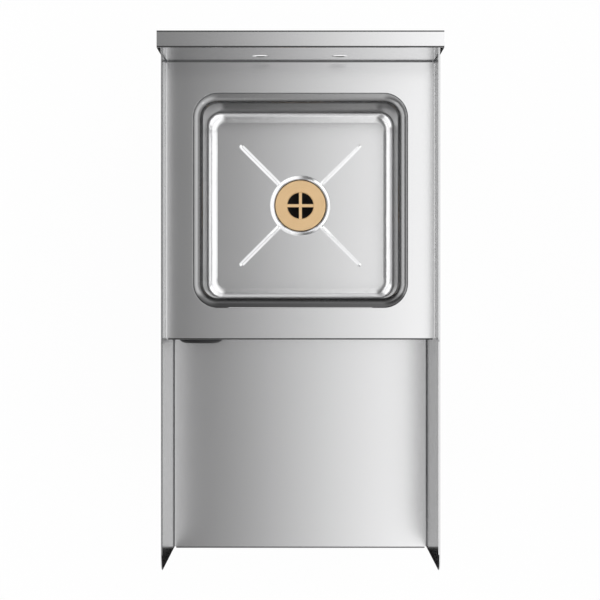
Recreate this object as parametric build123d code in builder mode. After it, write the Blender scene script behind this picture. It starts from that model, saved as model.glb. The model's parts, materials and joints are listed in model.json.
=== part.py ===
from build123d import *
from math import atan2, degrees, pi, radians, tan
import os

os.makedirs("parts", exist_ok=True)

# A free-standing underbar blender station with a dump sink, in millimetres.
# The origin is on the floor under the middle of the unit, +Z is up and the working front faces -Y.

# Overall sizes
unit_width = 355.6
unit_depth = 679.4
deck_height = 762.0
splash_rise = 152.4
splash_depth = 21.3
deck_depth = 363.8
side_rise = 73.0
shelf_drop = 196.0
skirt_drop = 45.0

# Sheet metal: gauge, inside radius of a fold, and the gap left where two sheets are lapped
sheet = 1.2
bend_inside = 1.2
seam = 0.2
deck_cove = 1.2
deck_apron = 32.0
splash_lap = 20.0
splash_return = 28.0
hem = 10.0
hem_relief = 2.4
hem_ease = 0.8
side_corner = 22.0
side_foot = 76.0
side_back = 18.0
riser_return = 15.0
shelf_side_lap = 25.0
shelf_rear_lap = 20.0
shelf_apron = 34.0
shelf_hem = 14.0
stiffener_width = 60.0
stiffener_flange = 18.0
stiffener_drop = 18.0

# Sink bowl
bowl_width = 255.4
bowl_depth = 158.0
bowl_corner = 19.5
bowl_draft = 0.2
bowl_border = 8.0
bowl_border_rise = 5.0
bowl_border_corner = 20.0
bowl_wall_fillet = 4.0
bowl_floor_fillet = 18.0
rim_width = 12.0
rim_radius = 11.0
rim_corner = 31.5
rim_gap = 0.3
rim_ease = 0.6
recess_diameter = 83.0
recess_lip = 3.5
recess_lip_drop = 1.4
recess_throat_drop = 2.8
recess_gap = 0.5
recess_depth = 6.0
recess_bend = 1.4
recess_margin = 4.0
drain_hole = 50.8
groove_end = 114.0
groove_lead = 1.0
groove_width = 7.0
groove_root = 0.6
groove_depth = 1.2

# Drain
flange_diameter = 69.8
flange_thickness = 3.5
flange_ease = 1.5
strainer_opening = 36.0
strainer_depth = 8.0
strainer_ease = 1.0
bar_width = 4.1
bar_height = 5.0
bar_sink = 1.0
bar_root = 0.5
tail_diameter = 48.26
tail_bore = 40.0
tail_length = 62.0
tail_relief_width = 3.0
tail_relief_depth = 0.8
tail_relief_gap = 1.0
gasket_thickness = 1.5
washer_diameter = 68.0
washer_thickness = 3.0
ring_thickness = 1.0
locknut_flats = 63.0
locknut_thickness = 10.0
thread_fit = 0.1

# Faucet holes in the backsplash
faucet_spacing = 101.6
faucet_hole = 22.2
faucet_rise = 57.0

# Cord grommet in the riser
grommet_offset = 134.0
grommet_rise = 98.0
grommet_flange = 60.0
grommet_hole = 50.0
grommet_bore = 35.0
grommet_dome = 7.6
grommet_lip = 4.0
grommet_lip_diameter = 57.0
grommet_fit = 0.1
grommet_ease = 1.5

# Legs and feet
leg_diameter = 41.3
leg_wall = 1.6
leg_inset_side = 40.0
leg_inset_end = 54.0
leg_fit = 0.1
channel_gauge = 2.0
channel_height = 26.0
gusset_corner = 8.0
gusset_plate = 3.0
socket_depth = 52.0
socket_wall = 3.0
socket_flare = 3.5
foot_height = 48.0
foot_gap = 12.0
foot_pad = 24.0
foot_body = 39.0
foot_taper = 26.0
foot_fillet = 10.0
foot_ease = 1.5
stud_diameter = 16.0
stud_seat = 16.0
stud_spare = 4.0
stud_fit = 0.1
insert_collar = 4.0
insert_length = 30.0
insert_fit = 0.05

# Fasteners
bolt_diameter = 6.0
bolt_hole = 6.6
bolt_spacing = 52.0
bolt_edge = 9.0
bolt_flats = 10.0
bolt_head = 4.0
bolt_spare = 2.0
nut_height = 5.0
nut_fit = 0.05
screw_diameter = 8.0
screw_fit = 0.05
screw_proud = 1.5
screw_socket_flats = 4.0
screw_socket_depth = 4.0

# Levels, widths and lines that the pieces share
fold = bend_inside + sheet
z_deck = deck_height
z_splash = z_deck + splash_rise
z_side = z_deck + side_rise
z_shelf = z_deck - shelf_drop
z_body = z_shelf - skirt_drop
x_side = unit_width / 2
x_inner = x_side - sheet
x_lapped = x_inner - seam
y_rear = unit_depth / 2
y_front = -unit_depth / 2
y_splash = y_rear - splash_depth
y_deck = y_splash - deck_depth
y_bowl = (y_splash + y_deck) / 2
y_riser = y_deck + sheet
z_bowl_floor = z_deck - bowl_depth
z_seat = z_bowl_floor - recess_depth
rim_size = bowl_width + 2 * rim_width
leg_radius = leg_diameter / 2
leg_bore_radius = leg_radius - leg_wall
leg_x = x_side - leg_inset_side
leg_y = y_rear - leg_inset_end
gusset_size = bolt_spacing + 2 * bolt_edge
channel_width = gusset_size
z_gusset = z_body - gusset_plate
z_socket = z_gusset - socket_depth
z_insert = foot_height + foot_gap
z_leg = z_insert + insert_collar
z_web = z_body + sheet + channel_gauge
socket_foot_radius = leg_radius + leg_fit + socket_wall
socket_top_radius = socket_foot_radius + socket_flare
z_screw = z_socket + socket_depth / 3
bowl_axis = Axis((0, y_bowl, 0), (0, 0, 1))
lower = (Align.CENTER, Align.CENTER, Align.MIN)
upper = (Align.CENTER, Align.CENTER, Align.MAX)

corners = {
    "front_left": (-leg_x, -leg_y),
    "front_right": (leg_x, -leg_y),
    "rear_left": (-leg_x, leg_y),
    "rear_right": (leg_x, leg_y),
}


def save(piece, name):
    """Label a finished piece and write it to its own file."""
    piece.label = name
    export_step(piece, f"parts/{name}.step")


def folded(plane, points, side, gauge=sheet, radius=None):
    """Section of a folded sheet: one face follows the points and the metal lies on the given side of it."""
    with BuildSketch(plane) as section:
        with BuildLine():
            FilletPolyline(*points, radius=radius or bend_inside + gauge)
            offset(amount=gauge, side=side)
        make_face()
    return section.sketch


def across(y):
    """Plane that faces the front at the given depth, with X across and Z up."""
    return Plane.XZ.offset(-y)


def near_bowl_axis(edge, half):
    """True where the middle of an edge lies inside a square of that half width around the bowl's axis."""
    middle = edge.center()
    return max(abs(middle.X), abs(middle.Y - y_bowl)) < half


def tub(top, gauge=0):
    """The space inside the bowl below the given level, or with a gauge the outside of the tub around it."""
    slope = atan2(bowl_border_rise, bowl_border)
    z_floor = z_bowl_floor - gauge
    z_knee = z_bowl_floor + bowl_border_rise - gauge * tan(pi / 4 - slope / 2)
    spread = gauge * tan(slope / 2)
    width = bowl_width + 2 * gauge
    wall_run = (bowl_depth - bowl_border_rise) * tan(radians(bowl_draft))
    floor_width = bowl_width - 2 * (wall_run + bowl_border - spread)
    with BuildPart() as shape:
        with BuildSketch(Plane.XY.offset(top)):
            with Locations((0, y_bowl)):
                RectangleRounded(width, width, bowl_corner + gauge)
        extrude(amount=z_knee - top, taper=bowl_draft)
        knee = shape.faces().sort_by(Axis.Z)[0]
        # A border slopes from the foot of the walls to the floor
        with BuildSketch(Plane.XY.offset(z_floor)) as floor:
            with Locations((0, y_bowl)):
                RectangleRounded(floor_width, floor_width, bowl_border_corner + spread)
        loft([knee, floor.sketch.faces()[0]], ruled=True)
        foot = shape.edges().filter_by_position(Axis.Z, z_knee - seam, z_knee + seam)
        fillet(foot, radius=bowl_wall_fillet + gauge)
        fillet(shape.edges().group_by(Axis.Z)[0], radius=bowl_floor_fillet + gauge)
    return shape.part


# Backsplash: front wall, top cap and a short return down the back
with BuildPart() as backsplash:
    extrude(
        folded(
            Plane.YZ,
            [
                (y_splash, z_deck - splash_lap),
                (y_splash, z_splash),
                (y_rear, z_splash),
                (y_rear, z_splash - splash_return),
            ],
            Side.RIGHT,
        ),
        amount=x_side,
        both=True,
    )
    # Below the side panels' top the wall stands between them
    notch_width = 2 * (x_side - x_lapped)
    notch_height = side_rise + 2 * splash_lap
    for hand in (-1, 1):
        with Locations((hand * x_side, y_splash, z_side)):
            Box(notch_width, 2 * splash_depth, notch_height, align=upper, mode=Mode.SUBTRACT)
    with BuildSketch(across(y_splash + sheet)):
        with Locations((0, z_deck + faucet_rise)):
            with GridLocations(faucet_spacing, 1, 2, 1):
                Circle(faucet_hole / 2)
    extrude(amount=sheet, mode=Mode.SUBTRACT)
save(backsplash.part, "backsplash")

# End caps close the backsplash above the side panels, inside its folds
for name, hand in (("left_splash_end_cap", -1), ("right_splash_end_cap", 1)):
    with BuildPart() as end_cap:
        with BuildSketch(Plane.YZ.offset(hand * x_side)) as cap_face:
            with Locations((y_splash + sheet, z_side)):
                Rectangle(
                    splash_depth - 2 * sheet,
                    z_splash - sheet - z_side,
                    align=(Align.MIN, Align.MIN),
                )
            fillet(cap_face.vertices().group_by(Axis.Z)[-1], radius=bend_inside + seam)
        extrude(amount=-hand * sheet)
    save(end_cap.part, name)

# Deck: a flat tray turned up at both sides, down at the front edge and down against the backsplash
z_upturn = z_side - hem - seam
x_flat = x_inner - deck_cove - sheet - seam
run_in = 2 * fold
with BuildPart() as deck_panel:
    extrude(
        folded(
            across(y_splash - fold),
            [
                (-x_inner, z_upturn),
                (-x_inner, z_deck - sheet),
                (x_inner, z_deck - sheet),
                (x_inner, z_upturn),
            ],
            Side.LEFT,
            radius=deck_cove + sheet,
        ),
        amount=deck_depth - 2 * fold,
    )
    extrude(
        folded(
            Plane.YZ,
            [(y_deck, z_deck - deck_apron), (y_deck, z_deck), (y_deck + run_in, z_deck)],
            Side.RIGHT,
        ),
        amount=x_flat,
        both=True,
    )
    extrude(
        folded(
            Plane.YZ,
            [(y_splash, z_deck - splash_lap), (y_splash, z_deck), (y_splash - run_in, z_deck)],
            Side.LEFT,
        ),
        amount=x_flat,
        both=True,
    )
    with BuildSketch(Plane.XY.offset(z_deck)):
        with Locations((0, y_bowl)):
            RectangleRounded(rim_size + 2 * rim_gap, rim_size + 2 * rim_gap, rim_corner + rim_gap)
    extrude(amount=-sheet, mode=Mode.SUBTRACT)
    opening = deck_panel.edges().filter_by_position(Axis.Z, z_deck - seam, z_deck + seam)
    fillet(
        opening.filter_by(lambda e: near_bowl_axis(e, rim_size / 2 + seam)),
        radius=rim_ease,
    )
save(deck_panel.part, "deck_panel")

# Sink bowl: a rim let into the deck, rolled over into a drawn tub with a recess for the drain
tub_width = bowl_width + 2 * sheet
with BuildPart() as sink_bowl:
    with BuildSketch(Plane.XY.offset(z_deck - sheet)):
        with Locations((0, y_bowl)):
            RectangleRounded(rim_size, rim_size, rim_corner)
    extrude(amount=sheet)
    fillet(sink_bowl.edges().group_by(Axis.Z)[-1], radius=rim_ease)
    add(tub(z_deck - sheet, sheet))
    under_rim = sink_bowl.edges().filter_by_position(Axis.Z, z_deck - sheet - seam, z_deck - sheet + seam)
    fillet(
        under_rim.filter_by(lambda e: near_bowl_axis(e, tub_width / 2 + seam)),
        radius=rim_radius - sheet,
    )
    add(tub(z_deck), mode=Mode.SUBTRACT)
    rim_edges = sink_bowl.edges().filter_by_position(Axis.Z, z_deck - seam, z_deck + seam)
    fillet(
        rim_edges.filter_by(lambda e: near_bowl_axis(e, bowl_width / 2 + seam)),
        radius=rim_radius,
    )
    # Round recess that the drain's flange sits in, with a lip that slopes down in two steps
    recess_outer = recess_diameter / 2 + recess_margin
    throat_radius = flange_diameter / 2 + recess_gap
    with Locations((0, y_bowl, z_bowl_floor)):
        Cylinder(recess_outer, 3 * sheet, mode=Mode.SUBTRACT)
    revolve(
        folded(
            across(y_bowl),
            [
                (recess_outer, z_bowl_floor),
                (recess_diameter / 2, z_bowl_floor),
                (recess_diameter / 2 - recess_lip, z_bowl_floor - recess_lip_drop),
                (throat_radius, z_bowl_floor - recess_throat_drop),
                (throat_radius, z_seat),
                (drain_hole / 2, z_seat),
            ],
            Side.LEFT,
            radius=recess_bend,
        ),
        axis=bowl_axis,
    )
    # Creases pressed down into the floor lead to the recess from the four corners
    groove_start = recess_diameter / 2 + groove_lead
    groove_length = groove_end - groove_start
    groove_middle = (groove_end + groove_start) / 2
    groove_slope = degrees(atan2(groove_width - groove_root, 2 * groove_depth))
    for level, mode in ((z_bowl_floor - sheet, Mode.ADD), (z_bowl_floor, Mode.SUBTRACT)):
        with BuildSketch(Plane.XY.offset(level)):
            with Locations((0, y_bowl)):
                with PolarLocations(groove_middle, 4, start_angle=45):
                    SlotCenterToCenter(groove_length, groove_width)
        extrude(amount=-groove_depth, taper=groove_slope, mode=mode)
save(sink_bowl.part, "sink_bowl")

# Riser: the wall between deck and shelf, behind the deck's apron, turned back at both sides
z_riser = z_shelf + bend_inside + seam
with BuildPart() as riser_panel:
    extrude(
        folded(
            Plane.XY.offset(z_riser),
            [
                (-x_lapped, y_riser + riser_return),
                (-x_lapped, y_riser),
                (x_lapped, y_riser),
                (x_lapped, y_riser + riser_return),
            ],
            Side.LEFT,
        ),
        amount=z_deck - fold - seam - z_riser,
    )
    with BuildSketch(across(y_riser + sheet)):
        with Locations((-grommet_offset, z_shelf + grommet_rise)):
            Circle(grommet_hole / 2)
    extrude(amount=sheet, mode=Mode.SUBTRACT)
save(riser_panel.part, "riser_panel")

# Blender shelf: turned down at the sides and front, turned up behind the riser
y_shelf_back = y_riser + 2 * sheet
x_shelf_flat = x_lapped - fold - seam
with BuildPart() as blender_shelf:
    extrude(
        folded(
            across(y_shelf_back - fold),
            [
                (-x_lapped, z_shelf - shelf_side_lap),
                (-x_lapped, z_shelf),
                (x_lapped, z_shelf),
                (x_lapped, z_shelf - shelf_side_lap),
            ],
            Side.RIGHT,
        ),
        amount=y_shelf_back - y_front - 2 * fold,
    )
    extrude(
        folded(
            Plane.YZ,
            [
                (y_front + shelf_hem, z_shelf - shelf_apron),
                (y_front, z_shelf - shelf_apron),
                (y_front, z_shelf),
                (y_front + run_in, z_shelf),
            ],
            Side.RIGHT,
        ),
        amount=x_shelf_flat,
        both=True,
    )
    extrude(
        folded(
            Plane.YZ,
            [
                (y_shelf_back - run_in, z_shelf - sheet),
                (y_shelf_back, z_shelf - sheet),
                (y_shelf_back, z_shelf + shelf_rear_lap),
            ],
            Side.LEFT,
        ),
        amount=x_shelf_flat,
        both=True,
    )
save(blender_shelf.part, "blender_shelf")

# Hat-shaped stiffener under the middle of the shelf
y_stiffener = (y_front + y_deck) / 2
z_stiffener = z_shelf - sheet
with BuildPart() as shelf_stiffener:
    extrude(
        folded(
            Plane.YZ,
            [
                (y_stiffener - stiffener_width / 2 - stiffener_flange, z_stiffener),
                (y_stiffener - stiffener_width / 2, z_stiffener),
                (y_stiffener - stiffener_width / 2, z_stiffener - stiffener_drop),
                (y_stiffener + stiffener_width / 2, z_stiffener - stiffener_drop),
                (y_stiffener + stiffener_width / 2, z_stiffener),
                (y_stiffener + stiffener_width / 2 + stiffener_flange, z_stiffener),
            ],
            Side.RIGHT,
        ),
        amount=x_shelf_flat,
        both=True,
    )
save(shelf_stiffener.part, "shelf_stiffener")

# Side panel: hemmed along its top, rounded at its front corner, turned in at the bottom and back
with BuildPart() as left_side_panel:
    extrude(
        folded(
            across(y_rear - fold),
            [(-x_side, z_side), (-x_side, z_body), (-x_side + side_foot, z_body)],
            Side.LEFT,
        ),
        amount=unit_depth - fold,
    )
    extrude(
        folded(
            Plane.XY.offset(z_body + fold + seam),
            [(-x_side, y_rear - run_in), (-x_side, y_rear), (-x_side + side_back, y_rear)],
            Side.RIGHT,
        ),
        amount=z_side - z_body - fold - seam,
    )
    y_hem = y_front + side_corner
    with Locations((-x_inner, y_hem, z_side)):
        Box(sheet, y_splash - seam - y_hem, hem, align=(Align.MIN, Align.MIN, Align.MAX))
    # The hem is relieved where the deck's front edge meets the panel
    with Locations((-x_inner + sheet / 2, y_deck, z_side)):
        Box(sheet, hem_relief, 2 * hem, mode=Mode.SUBTRACT)
    with BuildSketch(Plane.YZ):
        with BuildLine():
            Line((y_front, z_side - side_corner), (y_front, z_side))
            Line((y_front, z_side), (y_front + side_corner, z_side))
            RadiusArc((y_front + side_corner, z_side), (y_front, z_side - side_corner), -side_corner)
        make_face()
    extrude(amount=-unit_width, mode=Mode.SUBTRACT)
    for y in (-leg_y, leg_y):
        with Locations((-leg_x, y, z_body)):
            with GridLocations(bolt_spacing, bolt_spacing, 2, 2):
                Cylinder(bolt_hole / 2, 4 * sheet, mode=Mode.SUBTRACT)
    hem_faces = left_side_panel.faces().filter_by(Axis.X)
    outer_edges = hem_faces.sort_by(Axis.X)[0].edges()
    eased = outer_edges.filter_by(Axis.Y).sort_by(Axis.Z)[-1:]
    eased += outer_edges.filter_by(Axis.Z).sort_by(Axis.Y)[:1]
    eased += outer_edges.filter_by(GeomType.CIRCLE)
    fillet(eased, radius=hem_ease)
save(left_side_panel.part, "left_side_panel")

with BuildPart() as right_side_panel:
    mirror(left_side_panel.part, about=Plane.YZ)
save(right_side_panel.part, "right_side_panel")

# Channels that tie the side panels together at the bottom and carry the legs
for name, y in (("front_leg_channel", -leg_y), ("rear_leg_channel", leg_y)):
    with BuildPart() as leg_channel:
        extrude(
            folded(
                Plane.YZ,
                [
                    (y - channel_width / 2, z_body + sheet + channel_height),
                    (y - channel_width / 2, z_body + sheet),
                    (y + channel_width / 2, z_body + sheet),
                    (y + channel_width / 2, z_body + sheet + channel_height),
                ],
                Side.LEFT,
                gauge=channel_gauge,
            ),
            amount=x_side - fold - seam,
            both=True,
        )
        for x in (-leg_x, leg_x):
            with Locations((x, y, z_body + sheet)):
                with GridLocations(bolt_spacing, bolt_spacing, 2, 2):
                    Cylinder(bolt_hole / 2, 4 * channel_gauge, mode=Mode.SUBTRACT)
    save(leg_channel.part, name)

# Cord grommet: a domed flange in front of the riser, a neck through it and a lip behind
with BuildPart() as cord_grommet:
    grommet_centre = (-grommet_offset, y_riser, z_shelf + grommet_rise)
    with BuildSketch(Plane(origin=grommet_centre, x_dir=(1, 0, 0), z_dir=(0, 0, 1))):
        with BuildLine():
            rise = (grommet_flange - grommet_bore) / 2
            neck = grommet_hole / 2 - grommet_fit
            EllipticalCenterArc((grommet_bore / 2, 0), rise, grommet_dome, start_angle=270, arc_size=90)
            Polyline(
                (grommet_flange / 2, 0),
                (neck, 0),
                (neck, sheet),
                (grommet_lip_diameter / 2, sheet),
                (grommet_lip_diameter / 2, sheet + grommet_lip),
                (grommet_bore / 2, sheet + grommet_lip),
                (grommet_bore / 2, -grommet_dome),
            )
        make_face()
    revolve(axis=Axis(grommet_centre, (0, 1, 0)))
    front_edge = cord_grommet.edges().group_by(Axis.Y)[0]
    back_edge = cord_grommet.edges().group_by(Axis.Y)[-1]
    fillet(front_edge + back_edge, radius=grommet_ease)
save(cord_grommet.part, "cord_grommet")

# Drain: a flanged body with a cross in its opening and a threaded tail
z_flange = z_seat + gasket_thickness
z_flange_top = z_flange + flange_thickness
around_tail = tail_diameter + 2 * thread_fit
z_washer = z_seat - sheet
z_ring = z_washer - washer_thickness
z_locknut = z_ring - ring_thickness
z_relief = z_locknut - locknut_thickness - tail_relief_gap
relief_radius = tail_diameter / 2 - tail_relief_depth
with BuildPart() as drain_body:
    with BuildSketch(across(y_bowl)):
        Polygon(
            (strainer_opening / 2, z_flange_top),
            (flange_diameter / 2, z_flange_top),
            (flange_diameter / 2, z_flange),
            (tail_diameter / 2, z_flange),
            (tail_diameter / 2, z_relief),
            (relief_radius, z_relief),
            (relief_radius, z_relief - tail_relief_width),
            (tail_diameter / 2, z_relief - tail_relief_width),
            (tail_diameter / 2, z_flange - tail_length),
            (tail_bore / 2, z_flange - tail_length),
            (tail_bore / 2, z_flange_top - strainer_depth),
            (strainer_opening / 2, z_flange_top - strainer_depth),
            align=None,
        )
    revolve(axis=bowl_axis)
    top_edges = drain_body.edges().group_by(Axis.Z)[-1].sort_by(SortBy.LENGTH)
    chamfer(top_edges[0], length=strainer_ease)
    fillet(top_edges[-1], radius=flange_ease)
    bar_length = strainer_opening + 2 * bar_root
    with Locations((0, y_bowl, z_flange_top - bar_sink)):
        Box(bar_length, bar_width, bar_height, align=upper)
        Box(bar_width, bar_length, bar_height, align=upper)
save(drain_body.part, "drain_body")


def drain_ring(z_top, thickness, outside, inside):
    """Flat ring around the drain's tail, hanging down from the given level."""
    with BuildPart() as ring:
        with BuildSketch(Plane.XY.offset(z_top)):
            with Locations((0, y_bowl)):
                Circle(outside / 2)
                Circle(inside / 2, mode=Mode.SUBTRACT)
        extrude(amount=-thickness)
    return ring.part


save(drain_ring(z_flange, gasket_thickness, flange_diameter - 2 * flange_ease, around_tail), "drain_gasket")
save(drain_ring(z_washer, washer_thickness, washer_diameter, around_tail), "drain_washer")
save(drain_ring(z_ring, ring_thickness, washer_diameter, around_tail), "drain_friction_ring")

with BuildPart() as drain_locknut:
    with BuildSketch(Plane.XY.offset(z_locknut)):
        with Locations((0, y_bowl)):
            RegularPolygon(locknut_flats / 2, 6, major_radius=False)
            Circle(around_tail / 2, mode=Mode.SUBTRACT)
    extrude(amount=-locknut_thickness)
save(drain_locknut.part, "drain_locknut")


def screw_plane(x, y):
    """Plane through a leg's axis, facing the middle of the unit, at the height of its set screw."""
    return Plane(origin=(x, y, z_screw), z_dir=(-x, 0, 0))


def leg_gusset(x, y):
    """Plate with a flared socket for a leg, and a cross hole for its set screw."""
    with BuildPart() as gusset:
        with BuildSketch(Plane.XY.offset(z_body)):
            with Locations((x, y)):
                RectangleRounded(gusset_size, gusset_size, gusset_corner)
        extrude(amount=-gusset_plate)
        with Locations((x, y, z_socket)):
            Cone(socket_foot_radius, socket_top_radius, socket_depth, align=lower)
            Cylinder(leg_radius + leg_fit, socket_depth, align=lower, mode=Mode.SUBTRACT)
        with Locations((x, y, z_gusset)):
            with GridLocations(bolt_spacing, bolt_spacing, 2, 2):
                Cylinder(bolt_hole / 2, gusset_plate, align=lower, mode=Mode.SUBTRACT)
        with BuildSketch(screw_plane(x, y)):
            Circle(screw_diameter / 2 + screw_fit)
        extrude(amount=2 * socket_top_radius, mode=Mode.SUBTRACT)
    return gusset.part


def leg_tube(x, y):
    """Plain tube from the foot's socket up to the gusset's plate."""
    with BuildPart() as tube:
        with BuildSketch(Plane.XY.offset(z_leg)):
            with Locations((x, y)):
                Circle(leg_radius)
                Circle(leg_bore_radius, mode=Mode.SUBTRACT)
        extrude(amount=z_gusset - z_leg)
    return tube.part


def foot_socket(x, y):
    """Collared plug in the end of a leg, bored for the foot's stud."""
    with BuildPart() as socket:
        with Locations((x, y, z_insert)):
            Cylinder(leg_radius, insert_collar, align=lower)
        with Locations((x, y, z_leg)):
            Cylinder(leg_bore_radius - insert_fit, insert_length, align=lower)
        with Locations((x, y, z_insert)):
            Cylinder(
                stud_diameter / 2 + stud_fit, insert_collar + insert_length, align=lower, mode=Mode.SUBTRACT
            )
    return socket.part


def foot_stud(x, y):
    """Threaded stud from inside the foot up through the socket."""
    with BuildPart() as stud:
        with Locations((x, y, stud_seat)):
            Cylinder(
                stud_diameter / 2, z_leg + insert_length + stud_spare - stud_seat, align=lower
            )
    return stud.part


def bullet_foot(x, y):
    """Tapered foot with a flat pad, bored for its stud."""
    with BuildPart() as foot:
        with BuildSketch(Plane(origin=(x, y, 0), x_dir=(1, 0, 0), z_dir=(0, -1, 0))):
            with BuildLine():
                FilletPolyline(
                    (foot_pad / 2, 0),
                    (foot_body / 2, foot_taper),
                    (foot_body / 2, foot_height),
                    radius=foot_fillet,
                )
                Polyline(
                    (foot_body / 2, foot_height),
                    (stud_diameter / 2 + stud_fit, foot_height),
                    (stud_diameter / 2 + stud_fit, stud_seat),
                    (0, stud_seat),
                    (0, 0),
                    (foot_pad / 2, 0),
                )
            make_face()
        revolve(axis=Axis((x, y, 0), (0, 0, 1)))
        rim = foot.edges().group_by(Axis.Z)[-1].sort_by(SortBy.LENGTH)[-1]
        pad = foot.edges().group_by(Axis.Z)[0]
        fillet(pad + [rim], radius=foot_ease)
    return foot.part


for corner, (x, y) in corners.items():
    save(leg_gusset(x, y), f"{corner}_leg_gusset")
    save(leg_tube(x, y), f"{corner}_leg")
    save(foot_socket(x, y), f"{corner}_foot_socket")
    save(foot_stud(x, y), f"{corner}_foot_stud")
    save(bullet_foot(x, y), f"{corner}_foot")

# Hexagon bolts from below the gusset plates, with their nuts inside the channels
with BuildPart() as gusset_bolts:
    for x, y in corners.values():
        with BuildSketch(Plane.XY.offset(z_gusset)):
            with Locations((x, y)):
                with GridLocations(bolt_spacing, bolt_spacing, 2, 2):
                    RegularPolygon(bolt_flats / 2, 6, major_radius=False)
        extrude(amount=-bolt_head)
        with Locations((x, y, z_gusset)):
            with GridLocations(bolt_spacing, bolt_spacing, 2, 2):
                Cylinder(bolt_diameter / 2, z_web + nut_height + bolt_spare - z_gusset, align=lower)
save(gusset_bolts.part, "gusset_bolts")

with BuildPart() as gusset_nuts:
    for x, y in corners.values():
        with BuildSketch(Plane.XY.offset(z_web)):
            with Locations((x, y)):
                with GridLocations(bolt_spacing, bolt_spacing, 2, 2):
                    RegularPolygon(bolt_flats / 2, 6, major_radius=False)
                    Circle(bolt_diameter / 2 + nut_fit, mode=Mode.SUBTRACT)
        extrude(amount=nut_height)
save(gusset_nuts.part, "gusset_nuts")

# Set screws that lock the legs in their gussets
with BuildPart() as leg_set_screws:
    for x, y in corners.values():
        start = screw_plane(x, y).offset(leg_radius + leg_fit)
        screw_length = socket_top_radius + screw_proud - leg_radius - leg_fit
        with BuildSketch(start):
            Circle(screw_diameter / 2)
        extrude(amount=screw_length)
        with BuildSketch(start.offset(screw_length)):
            RegularPolygon(screw_socket_flats / 2, 6, major_radius=False)
        extrude(amount=-screw_socket_depth, mode=Mode.SUBTRACT)
save(leg_set_screws.part, "leg_set_screws")
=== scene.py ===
import json
import math

import bpy
from mathutils import Matrix, Vector


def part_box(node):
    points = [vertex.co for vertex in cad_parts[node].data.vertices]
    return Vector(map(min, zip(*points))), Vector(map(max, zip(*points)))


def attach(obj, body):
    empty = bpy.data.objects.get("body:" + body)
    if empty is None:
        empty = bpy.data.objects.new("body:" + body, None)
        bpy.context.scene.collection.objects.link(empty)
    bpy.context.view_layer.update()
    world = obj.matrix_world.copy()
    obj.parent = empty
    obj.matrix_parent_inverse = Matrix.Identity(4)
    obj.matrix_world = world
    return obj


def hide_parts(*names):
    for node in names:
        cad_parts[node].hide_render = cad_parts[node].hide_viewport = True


# Looks for the underbar blender station, in metres, in the same frame as its solids:
# origin on the floor under the middle, +Z up, working front towards -Y.

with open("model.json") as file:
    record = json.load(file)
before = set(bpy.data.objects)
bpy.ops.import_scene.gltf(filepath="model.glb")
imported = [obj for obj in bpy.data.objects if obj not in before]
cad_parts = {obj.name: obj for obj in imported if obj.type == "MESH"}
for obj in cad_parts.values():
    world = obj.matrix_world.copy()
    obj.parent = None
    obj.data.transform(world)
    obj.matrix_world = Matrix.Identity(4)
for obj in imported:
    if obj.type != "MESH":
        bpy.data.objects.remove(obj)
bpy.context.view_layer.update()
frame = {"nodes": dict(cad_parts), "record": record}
nodes = frame["nodes"]
CORNERS = ("front_left", "front_right", "rear_left", "rear_right")

# Heights of the flat faces, depths of the backsplash's face and the bowl's middle, radii in the drain
SPLASH_TOP = 0.9144
DECK = 0.762
SHELF = 0.566
BOWL_FLOOR = 0.604
SPLASH_FACE = 0.3184
BOWL_MIDDLE = 0.1365
DRAIN_TAIL = 0.02413
DRAIN_BORE = 0.0199


# Shader maths

class Wire:
    """An output in a finish's node tree. Arithmetic on it adds Math nodes."""

    def __init__(self, finish, socket):
        self.finish = finish
        self.socket = socket

    def maths(self, operation, *operands):
        return self.finish.node("Math", {"operation": operation}, *operands)

    def __add__(self, other):
        return self.maths("ADD", self, other)

    def __radd__(self, other):
        return self.maths("ADD", other, self)

    def __sub__(self, other):
        return self.maths("SUBTRACT", self, other)

    def __rsub__(self, other):
        return self.maths("SUBTRACT", other, self)

    def __mul__(self, other):
        return self.maths("MULTIPLY", self, other)

    def __rmul__(self, other):
        return self.maths("MULTIPLY", other, self)

    def __truediv__(self, other):
        return self.maths("DIVIDE", self, other)

    def __pow__(self, other):
        return self.maths("POWER", self, other)

    def between(self, low, high, start=0.0, end=1.0):
        """A smooth step from start to end as this value goes from low to high."""
        settings = {"interpolation_type": "SMOOTHSTEP"}
        return self.finish.node("MapRange", settings, self, low, high, start, end)

    def beyond(self, near, far):
        """A smooth step from 0 to 1 as this value goes from near to far, on either side of zero."""
        return (self * self).between(near ** 2, far ** 2)


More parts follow.
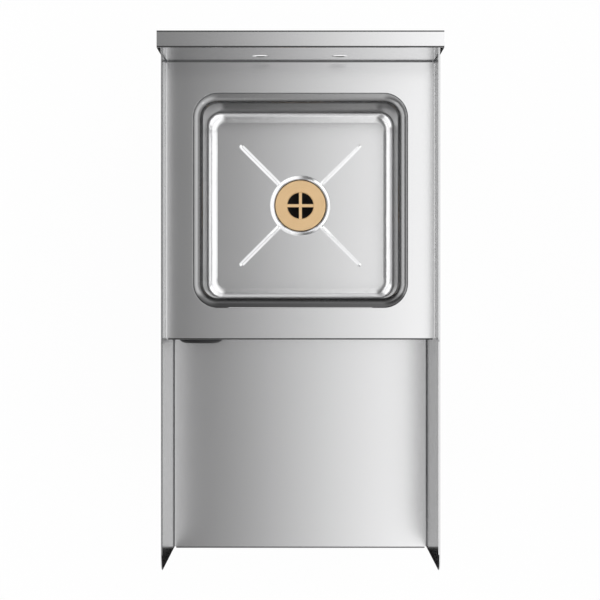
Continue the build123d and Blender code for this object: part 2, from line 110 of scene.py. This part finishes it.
class Finish:
    """A material under construction: one Principled shader and the nodes that feed it."""

    def __init__(self, name, **constants):
        self.material = bpy.data.materials.new(name)
        self.material.use_nodes = True
        self.tree = self.material.node_tree
        self.shader = self.tree.nodes["Principled BSDF"]
        for socket, value in constants.items():
            self.shader.inputs[socket.replace("_", " ")].default_value = value
        self.place = self.node("TexCoord", output="Object")

    def node(self, kind, settings=None, *values, output=0, **named):
        """Add a node, set it up, then give its sockets values or links, in order or by name."""
        made = self.tree.nodes.new("ShaderNode" + kind)
        for key, value in (settings or {}).items():
            setattr(made, key, value)
        sockets = [s for s in made.inputs if s.enabled]
        for socket, value in zip(sockets, values):
            self.feed(socket, value)
        for key, value in named.items():
            self.feed(next(s for s in sockets if s.name == key.replace("_", " ")), value)
        outputs = [s for s in made.outputs if s.enabled]
        if isinstance(output, int):
            return Wire(self, outputs[output])
        return Wire(self, next(s for s in outputs if s.name == output))

    def feed(self, socket, value):
        if isinstance(value, Wire):
            self.tree.links.new(value.socket, socket)
        elif value is not None:
            socket.default_value = value

    def to(self, **sockets):
        """Link wires to the shader's own sockets."""
        for key, wire in sockets.items():
            self.feed(self.shader.inputs[key.replace("_", " ")], wire)

    def noise(self, scale, detail=2.0, stretch=(1.0, 1.0, 1.0), roughness=0.5):
        """Noise of that many features per metre, drawn out where a stretch is below 1."""
        place = self.node("Mapping", None, self.place, Scale=stretch)
        return self.node("TexNoise", None, place, Scale=scale, Detail=detail, Roughness=roughness)

    def along(self, axis):
        """Distance along one axis of the shared frame."""
        return self.node("SeparateXYZ", None, self.place, output=axis)

    def mix(self, amount, first, second):
        """A colour between two colours or wires, by a value from 0 to 1."""
        ends = [end if isinstance(end, Wire) else (*end, 1.0) for end in (first, second)]
        return self.node("Mix", {"data_type": "RGBA"}, amount, A=ends[0], B=ends[1], output="Result")

    def bump(self, height, strength, distance):
        return self.node("Bump", None, Strength=strength, Distance=distance, Height=height)


# Finishes

def steel_tones(tone, spread=0.022):
    """The darker and lighter of the greys that a steel of that tone is mottled with, faintly blue."""
    low, high = tone * (1.0 - spread), tone * (1.0 + spread)
    return (low, low, low * 1.008), (high, high, high * 1.005)


def sheet_steel(name, grain, tone=0.66, roughness=0.24, hairline=0.004, spread=0.022, face=None):
    """Stainless sheet with a straight fine grain along one axis and faint handling marks.

    Where the height of a flat face is given, its folds carry dark lines of painted shade, its upturned edges
    beside the side panels a faint painted shade, and the sheet below is smoother.
    """
    finish = Finish(name, Metallic=1.0, IOR=2.5)
    drawn = {"x": (0.012, 1.0, 1.0), "y": (1.0, 0.012, 1.0), "z": (1.0, 1.0, 0.012)}[grain]
    hairlines = finish.noise(1900.0, 2.0, drawn, 0.6)
    streaks = finish.noise(700.0, 2.0, drawn)
    clouds = finish.noise(9.0, 3.0)
    smears = finish.noise(38.0, 4.0, roughness=0.65).between(0.56, 0.72)
    colour = finish.mix(streaks * 0.3 + hairlines * 0.7, *steel_tones(tone, spread))
    if face:
        across, deep, height = finish.along("X"), finish.along("Y"), finish.along("Z")
        # Painted shade: a dark line along the fold just below the face, and on upturned edges
        fold_shade = height.between(face - 0.0022, face - 0.0016)
        fold_shade = fold_shade * height.between(face - 0.00008, face - 0.00001, 1.0, 0.0)
        upturn_shade = height.between(face + 0.00004, face + 0.0003, 0.0, 0.12)
        # The painted shade line is faint beside the side panels, where the upturned edge takes a light
        # painted shade instead, and lighter along the foot of the backsplash
        sides = across.beyond(0.17205, 0.1735) * height.between(DECK + 0.02, DECK + 0.04, 1.0, 0.0)
        rear = deep.between(SPLASH_FACE - 0.0034, SPLASH_FACE - 0.0026)
        rear = rear * deep.between(SPLASH_FACE, SPLASH_FACE + 0.0002, 1.0, 0.0)
        painted_shade_line = fold_shade * (0.95 - sides * 0.9 - rear * 0.55) + upturn_shade * sides
        # The painted shade mixes the steel towards an almost black tone of itself
        colour = finish.mix(painted_shade_line, colour, steel_tones(tone * 0.06)[0])
        roughness = height.between(face - 0.0012, face - 0.0002, 0.12, roughness)
    finish.to(
        Base_Color=colour,
        Roughness=roughness + (hairlines - 0.5) * 0.02 + (clouds - 0.5) * 0.014 + smears * 0.005,
        Normal=finish.bump(hairlines, hairline, 0.0002),
    )
    return finish.material


def drawn_steel(name, tone=0.66):
    """Pressed stainless: satin floor, frosted corners, polished walls lightened by a painted highlight as
    are the floor's creases, painted shade in the drain's throat, a satin rim darkened by painted shade and
    darkest at the front, and a plain outside a little darker than the floor.
    """
    finish = Finish(name, IOR=2.5, Specular_Tint=(0.2, 0.2, 0.2, 1.0))
    across, deep, height = finish.along("X"), finish.along("Y") - BOWL_MIDDLE, finish.along("Z")
    satin = finish.noise(1700.0, 2.0)
    draw = finish.noise(210.0, 2.0, (1.0, 1.0, 0.05))
    clouds = finish.noise(12.0, 3.0)

    def toned(share):
        return finish.mix(draw, *steel_tones(tone * share))

    floor = height.between(BOWL_FLOOR - 0.0004, BOWL_FLOOR - 0.0001)
    floor = floor * height.between(BOWL_FLOOR + 0.0002, BOWL_FLOOR + 0.0016, 1.0, 0.0)
    # Painted highlight: the creases, and the walls above the floor, take a lighter copy of the steel
    crease_highlight = height.between(BOWL_FLOOR - 0.0006, BOWL_FLOOR - 0.0002, 0.5, 0.0)
    wall_highlight = height.between(BOWL_FLOOR + 0.001, BOWL_FLOOR + 0.006)
    frost = height.between(BOWL_FLOOR + 0.0008, BOWL_FLOOR + 0.002)
    frost = frost * height.between(BOWL_FLOOR + 0.008, BOWL_FLOOR + 0.013, 1.0, 0.0)
    outside = across.beyond(0.12787, 0.12826) + deep.beyond(0.12787, 0.12826)
    # Painted shade in the drain's throat below the floor
    throat_shade = height.between(BOWL_FLOOR - 0.0018, BOWL_FLOOR - 0.0014, 1.0, 0.0)
    # Painted shade on the rolled rim, darkest along the front; the rim is also a rougher satin
    roll = height.between(DECK - 0.016, DECK - 0.010)
    rim_satin_and_shade = roll * height.between(DECK - 0.0016, DECK - 0.0003, 1.0, 0.7)
    front_rim_shade = roll * deep.between(-0.1275, -0.1185, 1.0, 0.0)
    # Painted highlight mixed in as the steel at 1.36 times its tone
    colour = finish.mix(wall_highlight + crease_highlight, toned(1.0), toned(1.36))
    # The outside of the bowl has no painted highlight and is a plain grey at 0.8 of the tone
    colour = finish.mix(outside, colour, toned(0.8))
    colour = finish.mix(throat_shade, colour, steel_tones(tone * 0.6)[0])
    colour = finish.mix(rim_satin_and_shade, colour, toned(0.33))
    colour = finish.mix(front_rim_shade, colour, steel_tones(tone * 0.16)[0])
    finish.to(
        Base_Color=colour,
        Metallic=1.0 - frost * 0.3,
        Roughness=0.14 + floor * 0.06 + rim_satin_and_shade * 0.13 + (satin - 0.5) * 0.04 + (clouds - 0.5) * 0.02,
        Normal=finish.bump(satin, 0.008, 0.0002),
    )
    return finish.material


def galvanised(name):
    """Zinc-coated steel with its patchwork of spangles."""
    finish = Finish(name, Metallic=1.0)
    spangle = finish.node("TexVoronoi", None, finish.place, Scale=110.0, output="Color")
    grey = finish.node("SeparateColor", None, spangle)
    dust = finish.noise(25.0, 4.0)
    finish.to(
        Base_Color=finish.mix(grey * 0.7 + dust * 0.3, (0.40, 0.42, 0.44), (0.58, 0.60, 0.61)),
        Roughness=0.36 + grey * 0.16 + (dust - 0.5) * 0.1,
    )
    return finish.material


def cast_metal(name):
    """Die-cast alloy with a fine sandy skin."""
    finish = Finish(name, Metallic=1.0)
    skin = finish.noise(900.0, 3.0)
    clouds = finish.noise(30.0, 3.0)
    finish.to(
        Base_Color=finish.mix(clouds, (0.50, 0.50, 0.51), (0.62, 0.62, 0.62)),
        Roughness=0.36 + (clouds - 0.5) * 0.14,
        Normal=finish.bump(skin, 0.18, 0.0003),
    )
    return finish.material


def plain_brass(name):
    """Matt brass with the rings of its turning about the drain's axis, dulled unevenly."""
    finish = Finish(name, Metallic=0.35)
    low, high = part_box("drain_body")
    across = finish.along("X") - (low.x + high.x) / 2
    deep = finish.along("Y") - (low.y + high.y) / 2
    radius = (across * across + deep * deep) ** 0.5
    rings = finish.node("TexNoise", {"noise_dimensions": "1D"}, W=radius, Scale=900.0, Detail=3.0)
    dull = finish.noise(60.0, 4.0, roughness=0.6)
    finish.to(
        Base_Color=finish.mix(dull * 0.5 + rings * 0.5, (0.87, 0.57, 0.28), (0.99, 0.71, 0.40)),
        Roughness=0.40 + (dull - 0.5) * 0.16 + (rings - 0.5) * 0.1,
        Normal=finish.bump(rings, 0.25, 0.0003),
    )
    return finish.material


def zinc_plate(name):
    """Bright zinc plating with faint yellow and grey patches."""
    finish = Finish(name, Metallic=1.0)
    patches = finish.noise(140.0, 3.0)
    finish.to(
        Base_Color=finish.mix(patches, (0.50, 0.50, 0.49), (0.66, 0.65, 0.62)),
        Roughness=0.30 + (patches - 0.5) * 0.2,
    )
    return finish.material


def black_rubber(name):
    """Moulded rubber with a fine bloom on its surface."""
    finish = Finish(name, Specular_IOR_Level=0.2)
    grain = finish.noise(1300.0, 3.0)
    bloom = finish.noise(45.0, 4.0, roughness=0.6)
    finish.to(
        Base_Color=finish.mix(bloom, (0.010, 0.010, 0.011), (0.026, 0.026, 0.027)),
        Roughness=0.55 + (bloom - 0.5) * 0.2,
        Normal=finish.bump(grain, 0.15, 0.0002),
    )
    return finish.material


def black_nylon(name):
    """Moulded nylon with a fine spark texture and scuffs."""
    finish = Finish(name)
    spark = finish.noise(1100.0, 2.0)
    scuffs = finish.noise(90.0, 5.0, roughness=0.7).between(0.55, 0.75)
    finish.to(
        Base_Color=finish.mix(scuffs, (0.020, 0.020, 0.022), (0.060, 0.060, 0.062)),
        Roughness=0.46 + scuffs * 0.18,
        Normal=finish.bump(spark, 0.25, 0.0003),
    )
    return finish.material


def pressed_fibre(name):
    """Red-brown fibre washer."""
    finish = Finish(name)
    flecks = finish.noise(500.0, 4.0, (1.0, 1.0, 0.3))
    finish.to(
        Base_Color=finish.mix(flecks, (0.22, 0.05, 0.03), (0.42, 0.12, 0.07)),
        Roughness=0.7 + (flecks - 0.5) * 0.2,
    )
    return finish.material


deck_steel = sheet_steel("deck_steel", "x", roughness=0.19, face=DECK)
splash_steel = sheet_steel("splash_steel", "x", roughness=0.20, face=SPLASH_TOP)
shelf_steel = sheet_steel("shelf_steel", "x", roughness=0.19, face=SHELF)
riser_steel = sheet_steel("riser_steel", "x")
side_steel = sheet_steel("side_steel", "y", tone=0.54, roughness=0.17, hairline=0.008, spread=0.07)
bowl_steel = drawn_steel("bowl_steel")
tube_steel = sheet_steel("tube_steel", "z", roughness=0.22)
finishes = {
    "backsplash": splash_steel,
    "left_splash_end_cap": splash_steel,
    "right_splash_end_cap": splash_steel,
    "deck_panel": deck_steel,
    "riser_panel": riser_steel,
    "blender_shelf": shelf_steel,
    "left_side_panel": side_steel,
    "right_side_panel": side_steel,
    "sink_bowl": bowl_steel,
}
by_slot = {
    "stainless": tube_steel,
    "galvanised": galvanised("galvanised_steel"),
    "cast": cast_metal("cast_alloy"),
    "brass": plain_brass("plain_brass"),
    "zinc": zinc_plate("zinc_plate"),
    "rubber": black_rubber("black_rubber"),
    "fibre": pressed_fibre("pressed_fibre"),
    "nylon": black_nylon("black_nylon"),
}
slots = {part["node"]: part["material_slot"] for part in frame["record"]["subparts"]}
for name, node in nodes.items():
    node.data.materials.clear()
    node.data.materials.append(finishes.get(name, by_slot[slots[name]]))


# Turned pieces

def turned(name, axis, outline, sides=48, tube=False):
    """Shape turned about an upright axis: a circle drawn up through the outline's radii and heights."""
    x, y = axis
    radius, height = outline[0]
    bpy.ops.object.select_all(action="DESELECT")
    bpy.ops.mesh.primitive_circle_add(
        vertices=sides, radius=radius, location=(x, y, height), fill_type="NOTHING" if tube else "NGON"
    )
    piece = bpy.context.object
    piece.name = piece.data.name = name
    bpy.ops.object.mode_set(mode="EDIT")
    bpy.ops.mesh.select_all(action="SELECT")
    for (r0, z0), (r1, z1) in zip(outline, outline[1:]):
        bpy.ops.mesh.extrude_region_move(TRANSFORM_OT_translate={"value": (0.0, 0.0, z1 - z0)})
        bpy.ops.transform.resize(value=(r1 / r0, r1 / r0, 1.0), center_override=(x, y, z1))
    bpy.ops.mesh.select_all(action="SELECT")
    bpy.ops.mesh.remove_doubles(threshold=1e-6)
    bpy.ops.mesh.normals_make_consistent(inside=False)
    bpy.ops.object.mode_set(mode="OBJECT")
    bpy.ops.object.transform_apply(location=True, rotation=True, scale=True)
    bpy.ops.object.shade_smooth_by_angle(angle=math.radians(40))
    return piece


def copied(piece, name, shift):
    """Copy of a piece with its own mesh, moved in its mesh."""
    twin = piece.copy()
    twin.data = piece.data.copy()
    twin.name = twin.data.name = name
    twin.data.transform(Matrix.Translation(shift))
    bpy.context.scene.collection.objects.link(twin)
    return twin


def ridges(low, high, root, crest, pitch):
    """Outline of a thread between two heights: root, flank, narrow crest, flank."""
    outline = []
    z = low
    while z + pitch <= high + 1e-9:
        outline += [(root, z), (crest, z + pitch * 0.42), (crest, z + pitch * 0.58)]
        z += pitch
    return outline + [(root, z)]


def foot_studs():
    """Threaded studs in place of the plain ones, one for each foot."""
    low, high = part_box("front_left_foot_stud")
    crest = (high.x - low.x) / 2
    root = crest - 0.0012
    axis = ((low.x + high.x) / 2, (low.y + high.y) / 2)
    outline = [(root - 0.001, low.z), (root, low.z + 0.001)]
    outline += ridges(low.z + 0.026, high.z - 0.002, root, crest, 0.002)
    outline += [(root - 0.0012, high.z)]
    first = turned("front_left_stud_thread", axis, outline, sides=40)
    for corner in CORNERS:
        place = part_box(corner + "_foot_stud")[0] - low
        stud = first if corner == CORNERS[0] else copied(first, corner + "_stud_thread", place)
        stud.data.materials.clear()
        stud.data.materials.append(by_slot["zinc"])
        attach(stud, corner + "_foot")
        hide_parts(corner + "_foot_stud")


def drain_thread():
    """Thread standing on the free end of the drain's tail, below its locknut."""
    low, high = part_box("drain_body")
    nut_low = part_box("drain_locknut")[0]
    axis = ((low.x + high.x) / 2, (low.y + high.y) / 2)
    top = nut_low.z - 0.0045
    outline = [(DRAIN_TAIL - 0.0003, low.z + 0.0012)]
    outline += ridges(low.z + 0.0015, top, DRAIN_TAIL + 0.00002, DRAIN_TAIL + 0.0006, 0.00221)
    outline += [(DRAIN_TAIL - 0.0003, top)]
    thread = turned("drain_tail_thread", axis, outline, sides=72, tube=True)
    thread.data.materials.append(by_slot["brass"])
    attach(thread, "station")


def drain_seal():
    """Black rubber trap seal inside the drain's tail: a sleeve with a closed, dished flap."""
    low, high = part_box("drain_body")
    axis = ((low.x + high.x) / 2, (low.y + high.y) / 2)
    lip = high.z - 0.0125
    outline = [
        (0.0006, lip - 0.0200), (0.0022, lip - 0.0203), (0.0035, lip - 0.0188), (0.0090, lip - 0.0120),
        (0.0150, lip - 0.0085), (0.0176, lip - 0.0080), (0.0180, lip - 0.0180), (DRAIN_BORE, lip - 0.0182),
        (DRAIN_BORE, lip - 0.0004), (DRAIN_BORE - 0.0004, lip), (0.0182, lip), (0.0178, lip - 0.0004),
        (0.0172, lip - 0.0058), (0.0148, lip - 0.0066), (0.0088, lip - 0.0100), (0.0030, lip - 0.0172),
        (0.0006, lip - 0.0182),
    ]
    seal = turned("drain_seal", axis, outline, sides=64)
    seal.data.materials.append(by_slot["rubber"])
    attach(seal, "station")


foot_studs()
drain_thread()
drain_seal()


# Stage: pale floor, a plain grey surround, soft lamps and cards that shape the reflections

def plain_floor():
    """Wide pale floor that looks white to the camera and in reflections and keeps the object's shadow."""
    bpy.ops.object.select_all(action="DESELECT")
    bpy.ops.mesh.primitive_plane_add(size=24.0)
    floor = bpy.context.object
    floor.name = "floor"
    finish = Finish("floor_paint", Roughness=0.9, Specular_IOR_Level=0.1)
    faint = finish.noise(1.5, 2.0)
    finish.to(Base_Color=finish.mix(faint, (0.90, 0.90, 0.90), (0.92, 0.92, 0.92)))
    seen = [finish.node("LightPath", output=f"Is {ray} Ray") for ray in ("Camera", "Glossy", "Transmission")]
    glow = finish.node("Emission", None, Color=(1.0, 1.0, 1.0, 1.0), Strength=1.0)
    share = (seen[0] + seen[1] + seen[2]).between(0.0, 1.0, 0.0, 0.9)
    paint = Wire(finish, finish.shader.outputs[0])
    surface = finish.tree.nodes["Material Output"].inputs["Surface"]
    finish.feed(surface, finish.node("MixShader", None, share, paint, glow))
    floor.data.materials.append(finish.material)


def surround(horizon, zenith):
    """Even grey light from all round, of one brightness near the horizon and another overhead."""
    world = bpy.data.worlds.new("surround")
    bpy.context.scene.world = world
    world.use_nodes = True
    tree = world.node_tree
    background = tree.nodes["Background"]
    place = tree.nodes.new("ShaderNodeTexCoord")
    split = tree.nodes.new("ShaderNodeSeparateXYZ")
    tree.links.new(place.outputs["Generated"], split.inputs[0])
    ramp = tree.nodes.new("ShaderNodeMapRange")
    ramp.interpolation_type = "SMOOTHSTEP"
    for socket, value in (("From Min", 0.50), ("From Max", 0.75), ("To Min", horizon), ("To Max", zenith)):
        ramp.inputs[socket].default_value = value
    tree.links.new(split.outputs["Z"], ramp.inputs["Value"])
    background.inputs["Color"].default_value = (1.0, 1.0, 1.0, 1.0)
    tree.links.new(ramp.outputs[0], background.inputs["Strength"])


def softbox(name, at, aim, size, radiance):
    """Rectangular lamp of an even brightness, facing a point."""
    lamp = bpy.data.lights.new(name, "AREA")
    lamp.shape = "RECTANGLE"
    lamp.size, lamp.size_y = size
    lamp.energy = radiance * math.pi * size[0] * size[1]
    box = bpy.data.objects.new(name, lamp)
    bpy.context.scene.collection.objects.link(box)
    box.location = at
    box.rotation_euler = (Vector(aim) - Vector(at)).to_track_quat("-Z", "Y").to_euler()
    box.visible_camera = False


def black_card(name, low, high):
    """Dark card on the floor that only shows in reflections, to draw the edges of bright metal."""
    bpy.ops.object.select_all(action="DESELECT")
    middle = ((low[0] + high[0]) / 2, (low[1] + high[1]) / 2, 0.002)
    bpy.ops.mesh.primitive_plane_add(size=1.0, location=middle)
    card = bpy.context.object
    card.name = name
    card.scale = (high[0] - low[0], high[1] - low[1], 1.0)
    black = (0.004, 0.004, 0.004, 1.0)
    finish = Finish("black_card", Base_Color=black, Roughness=1.0, Specular_IOR_Level=0.0)
    card.data.materials.append(finish.material)
    card.visible_camera = False
    card.visible_diffuse = False
    card.visible_transmission = False
    card.visible_shadow = False


plain_floor()
surround(horizon=1.0, zenith=0.16)

# Lamps side by side overhead, from left to right: the edges between them and the brightness of each
LAMP_EDGES = (-3.4, -0.8, -0.18, -0.06, 0.06, 0.18, 0.30, 2.0)
LAMP_BRIGHTNESS = (1.45, 0.06, 0.30, 0.62, 0.94, 1.22, 1.45)
LAMP_HEIGHT = 2.5
LAMP_MIDDLE = 0.1
LAMP_LENGTH = 5.4
for number, (left, right, radiance) in enumerate(zip(LAMP_EDGES, LAMP_EDGES[1:], LAMP_BRIGHTNESS), 1):
    middle = (left + right) / 2
    above, below = (middle, LAMP_MIDDLE, LAMP_HEIGHT), (middle, LAMP_MIDDLE, 0.0)
    softbox(f"overhead_{number}", above, below, (right - left, LAMP_LENGTH), radiance)
black_card("front_card", (-0.25, -0.55), (0.25, -0.345))
black_card("left_card", (-0.30, 0.10), (-0.185, 0.36))
black_card("right_card", (0.185, 0.10), (0.30, 0.36))

# Camera straight above, top of the picture towards the backsplash
camera = bpy.data.objects.new("camera", bpy.data.cameras.new("camera"))
bpy.context.scene.collection.objects.link(camera)
camera.location = (-0.0006, 0.0064, 3.601)
camera.data.lens = 130.5
camera.data.sensor_width = 36.0
camera.data.clip_end = 100.0
bpy.context.scene.camera = camera
bpy.context.scene.view_settings.view_transform = "Standard"
